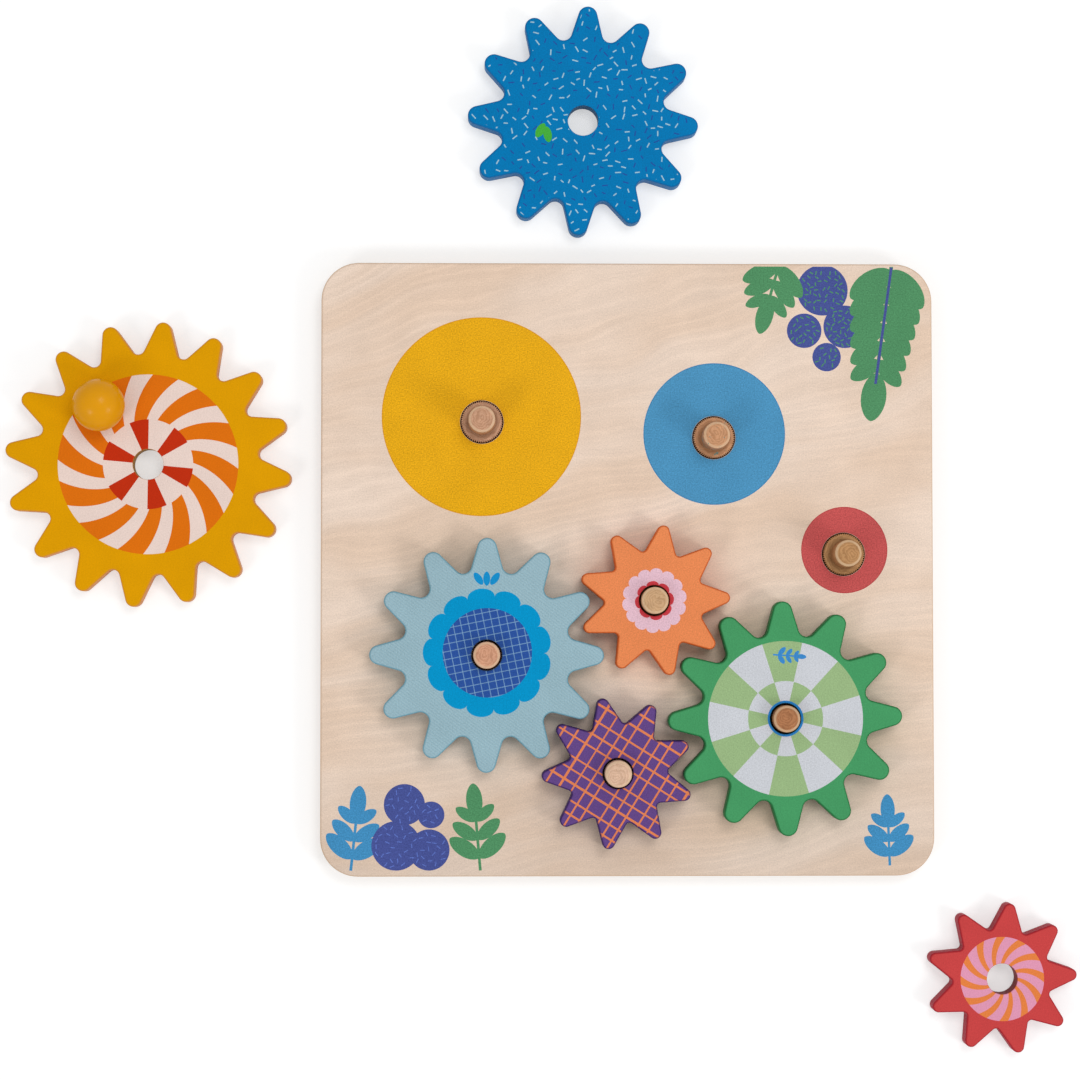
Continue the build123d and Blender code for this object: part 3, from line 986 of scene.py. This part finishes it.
# Pale and dark of each peg's own beech
peg_tones = {
    "light_blue_gear": ((214, 160, 130), (172, 118, 88)),
    "orange_gear": ((206, 168, 128), (170, 128, 90)),
    "green_gear": ((178, 122, 84), (134, 84, 54)),
    "purple_gear": ((222, 186, 160), (190, 150, 122)),
    "crank_gear": ((204, 158, 128), (160, 112, 80)),
    "blue_gear": ((206, 154, 116), (162, 110, 72)),
    "red_gear": ((190, 144, 98), (146, 100, 62)),
}


def beech_material(name, centre, turn, heart, pale, dark, smear=0.0):
    """Bare turned beech, centred on its own piece, with or without smears of paint."""
    material, graph, shader = new_material(name)
    place = piece_place(graph, centre, 0.0, turn)
    wood = graph.group(beech, Vector=place, Heart=heart, Ring=1.5, Pale=pale, Dark=dark,
                       Rim=srgb(236, 206, 170), Smear=smear)
    graph.dress(shader, Base_Color=wood["Colour"], Roughness=0.55, Specular_IOR_Level=0.06,
                Normal=bump(graph, wood["Height"], 0.4, 0.06))
    return material


def make_pegs():
    """Stepped pegs: a fluted base, a soft-edged shoulder and a pin with a bevelled top."""
    profile = rounded_profile([
        (0, peg_top_z, 0),
        (peg_pin_radius - 1.4, peg_top_z, 0.5),
        (peg_pin_radius, peg_top_z - 1.1, 0.6),
        (peg_pin_radius, peg_shoulder_z, 0.3),
        (peg_base_radius, peg_shoulder_z, 0.8),
        (peg_base_radius, peg_foot_z, 0.4),
        (0, peg_foot_z, 0),
    ])
    for number, gear in enumerate(gears):
        peg = gear + "_peg"
        centre = middle(peg)
        heart = (1.2 * cos(2.1 * number), 1.5 * sin(1.7 * number), 0.0)
        smear = 1.0 if gear == "blue_gear" else 0.0
        tones = [srgb(*tone) for tone in peg_tones[gear]]
        material = beech_material(peg + "_beech", centre, 37.0 * number, heart, *tones, smear)
        parts = turned_parts(centre, profile, 360, peg_flutes, peg_flute_depth)
        finish_mesh(peg + "_turned", parts, "baseboard", [peg], material)


def make_knob():
    """Ball with a flat foot and the socket of its spindle, under glossy paint."""
    centre = middle("crank_spindle")
    ball_z = knob_foot_z + sqrt(knob_radius**2 - knob_foot_radius**2)
    foot_angle = pi - np.arcsin(knob_foot_radius / knob_radius)
    angle = np.linspace(0, foot_angle, 60)
    ball = np.stack([knob_radius * np.sin(angle), ball_z + knob_radius * np.cos(angle)], axis=1)
    socket = np.array([
        [spindle_socket_radius, knob_foot_z],
        [spindle_socket_radius, knob_foot_z + spindle_socket_depth],
        [0.0, knob_foot_z + spindle_socket_depth],
    ])
    material, graph, shader = new_material("knob_paint")
    place = piece_place(graph, centre, ball_z)
    coat = graph.group(finish, Vector=place, Colour=srgb(226, 154, 4), Pebble=0.05)
    graph.dress(shader, Base_Color=coat["Colour"], Roughness=0.30, Specular_IOR_Level=0.09,
                Coat_Weight=0.08, Coat_Roughness=0.15,
                Normal=bump(graph, coat["Height"], 0.1, 0.03))
    parts = turned_parts(centre, np.concatenate([ball, socket]), 96)
    finish_mesh("crank_knob_ball", parts, "crank_handle", ["crank_knob"], material, 50)


make_board()
make_pegs()
for gear in gears:
    make_gear(gear)
make_knob()
hidden_beech = beech_material("hidden_beech", middle("crank_spindle"), 20.0, (4.0, 2.0, 0.0),
                              srgb(208, 164, 134), srgb(166, 118, 86))
for node in ("crank_spindle", "spindle_retainer"):
    frame["nodes"][node].data.materials.clear()
    frame["nodes"][node].data.materials.append(hidden_beech)

# ---- studio


def background_seen(graph):
    """One for rays that show the background: the camera's, mirrored and let through."""
    path = graph.tree.nodes.new("ShaderNodeLightPath").outputs
    seen = graph.math("MAXIMUM", path["Is Camera Ray"], path["Is Glossy Ray"])
    return graph.math("MAXIMUM", seen, path["Is Transmission Ray"])


def make_floor():
    """White table whose colour is lifted for the camera, so that only its shadows show."""
    mesh = bpy.data.meshes.new("studio_floor")
    reach = 8.0
    corners = [(x * reach, y * reach, 0) for x, y in ((-1, -1), (1, -1), (1, 1), (-1, 1))]
    mesh.from_pydata(corners, [], [(0, 1, 2, 3)])
    material = bpy.data.materials.new("studio_white")
    material.use_nodes = True
    graph = Graph(material.node_tree)
    shader = material.node_tree.nodes["Principled BSDF"]
    far = graph.vector("LENGTH", graph.node("ShaderNodeTexCoord", {}, 3), output=1)
    lift = graph.span(far, 0.7, 3.0, floor_lift, far_floor_lift)
    graph.dress(shader, Base_Color=(0.62, 0.62, 0.62, 1.0), Roughness=0.9,
                Specular_IOR_Level=0.0, Emission_Color=WHITE,
                Emission_Strength=graph.times(background_seen(graph), lift))
    mesh.materials.append(material)
    floor = bpy.data.objects.new("studio_floor", mesh)
    bpy.context.scene.collection.objects.link(floor)


def softbox(name, place, target, size, power):
    """Square area lamp that faces a point."""
    lamp = bpy.data.lights.new(name, "AREA")
    lamp.shape = "SQUARE"
    lamp.size = size
    lamp.energy = power
    holder = bpy.data.objects.new(name, lamp)
    holder.location = place
    holder.rotation_euler = (Vector(target) - Vector(place)).to_track_quat("-Z", "Y").to_euler()
    bpy.context.scene.collection.objects.link(holder)


floor_lift = 0.46
far_floor_lift = 0.66
world_strength = 0.58
make_floor()
softbox("right_softbox", (1.25, -0.75, 1.05), (0.0, 0.0, 0.0), 0.45, 6.6)
softbox("left_softbox", (-1.05, -0.85, 1.15), (0.0, 0.0, 0.0), 0.45, 4.6)
softbox("overhead_softbox", (0.4, 0.65, 1.75), (0.1, 0.1, 0.0), 0.7, 7.8)

world = bpy.data.worlds.new("studio_world")
bpy.context.scene.world = world
world.use_nodes = True
world_graph = Graph(world.node_tree)
background = world.node_tree.nodes["Background"]
seen = background_seen(world_graph)
strength = world_graph.node("ShaderNodeMix", {0: seen, 2: world_strength, 3: 1.0})
world_graph.dress(background, Color=WHITE, Strength=strength)

# The camera hangs over the board and looks straight down but for a small tilt. Pixels are those
# of a 1080 x 1080 picture, counted from its upper left corner. The plumb pixel is where a plumb
# line from the camera would be seen.
picture_size = 1080
focal_pixels = 2660.0
plumb_pixel = (480.0, 634.0)
board_centre_pixel = (627.7, 568.6)
camera_height = 1300.0
camera_roll = 0.01


def camera_ray(pixel):
    """Direction of a pixel in the camera's own axes."""
    return Vector((pixel[0] - picture_size / 2, picture_size / 2 - pixel[1], -focal_pixels))


def hang_camera():
    """The world's axes in the camera's: up is against the plumb line, X is the roll direction
    made square to it, and Y is their cross product. The place follows from the ray that meets
    the centre of the board's upper face."""
    up = -camera_ray(plumb_pixel).normalized()
    level = Vector((cos(radians(camera_roll)), sin(radians(camera_roll)), 0.0))
    right = (level - up * level.dot(up)).normalized()
    away = up.cross(right)
    turned = Matrix((right, away, up))
    sight = turned @ camera_ray(board_centre_pixel)
    place = Vector((0.0, 0.0, board_thickness)) - sight * (camera_height / -sight.z)
    data = bpy.data.cameras.new("photo_camera")
    data.sensor_width = 36.0
    data.lens = focal_pixels / picture_size * data.sensor_width
    data.clip_end = 50.0
    camera = bpy.data.objects.new("photo_camera", data)
    camera.matrix_world = Matrix.Translation(place * MM) @ turned.to_4x4()
    bpy.context.scene.collection.objects.link(camera)
    bpy.context.scene.camera = camera


hang_camera()
bpy.context.scene.view_settings.view_transform = "Standard"
